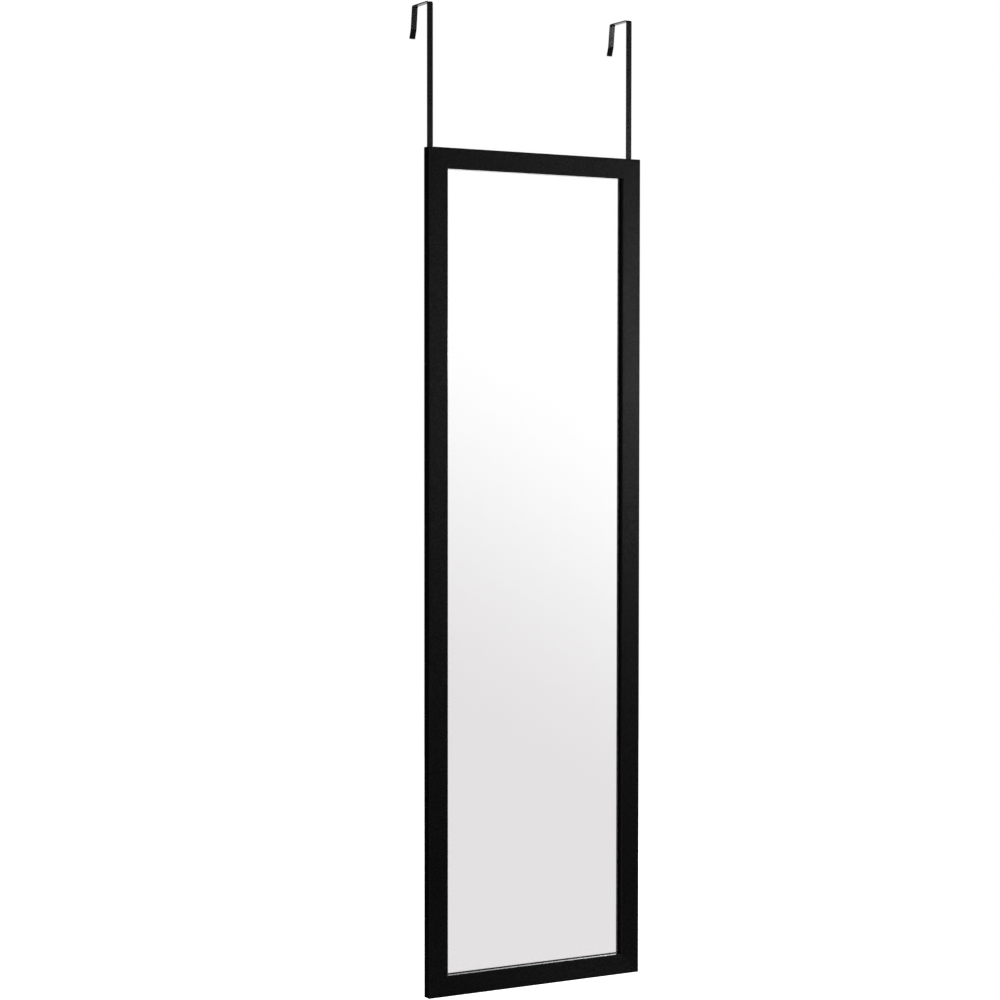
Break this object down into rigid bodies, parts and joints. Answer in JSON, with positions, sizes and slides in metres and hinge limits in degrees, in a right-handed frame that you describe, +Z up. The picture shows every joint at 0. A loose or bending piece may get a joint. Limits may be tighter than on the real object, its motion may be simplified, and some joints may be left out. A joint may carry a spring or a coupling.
{
  "type": "over-the-door mirror",
  "caption": "Tall narrow framed mirror that hangs over the top of a door by flat, height-adjustable strap hooks, with pads on its back.",
  "frame": {"origin": "on the top front edge of the door that the mirror hangs on, midway between the hooks: z = 0 is the top of the door, under the hooks, and y = 0 is the front face of the door, which the pads touch", "axes": "+X to the right as the viewer sees the mirror, +Y from the room into the door, so the mirror faces -Y, +Z up"},
  "size_m": [0.35, 0.0717, 1.405],
  "materials": {
    "frame": "satin",
    "wedge_steel": "satin",
    "glass": "gloss",
    "silver": "polished",
    "board": "matte",
    "point_steel": "satin",
    "hook": "satin",
    "zinc": "satin",
    "pad": "matte"
  },
  "bodies": {
    "frame": {"left_stile": "frame", "top_rail": "frame", "right_stile": "frame", "bottom_rail": "frame", "bottom_left_wedges": "wedge_steel", "top_left_wedges": "wedge_steel", "top_right_wedges": "wedge_steel", "bottom_right_wedges": "wedge_steel", "mirror_glass": "glass", "mirror_silvering": "silver", "backing_board": "board", "left_framers_points": "point_steel", "top_framers_points": "point_steel", "right_framers_points": "point_steel", "bottom_framers_points": "point_steel", "left_hook_screws": "zinc", "right_hook_screws": "zinc", "left_hook_washers": "zinc", "right_hook_washers": "zinc", "top_left_pad": "pad", "top_right_pad": "pad", "bottom_left_pad": "pad", "bottom_right_pad": "pad"},
    "left_hook": {"left_hook": "hook"},
    "right_hook": {"right_hook": "hook"}
  },
  "joints": [
    {"name": "left_hook_slide", "type": "slide", "parent": "frame", "child": "left_hook", "axis": [0, 0, 1], "range_m": [-0.06, 0]},
    {"name": "right_hook_slide", "type": "slide", "parent": "frame", "child": "right_hook", "axis": [0, 0, 1], "range_m": [-0.06, 0]}
  ]
}
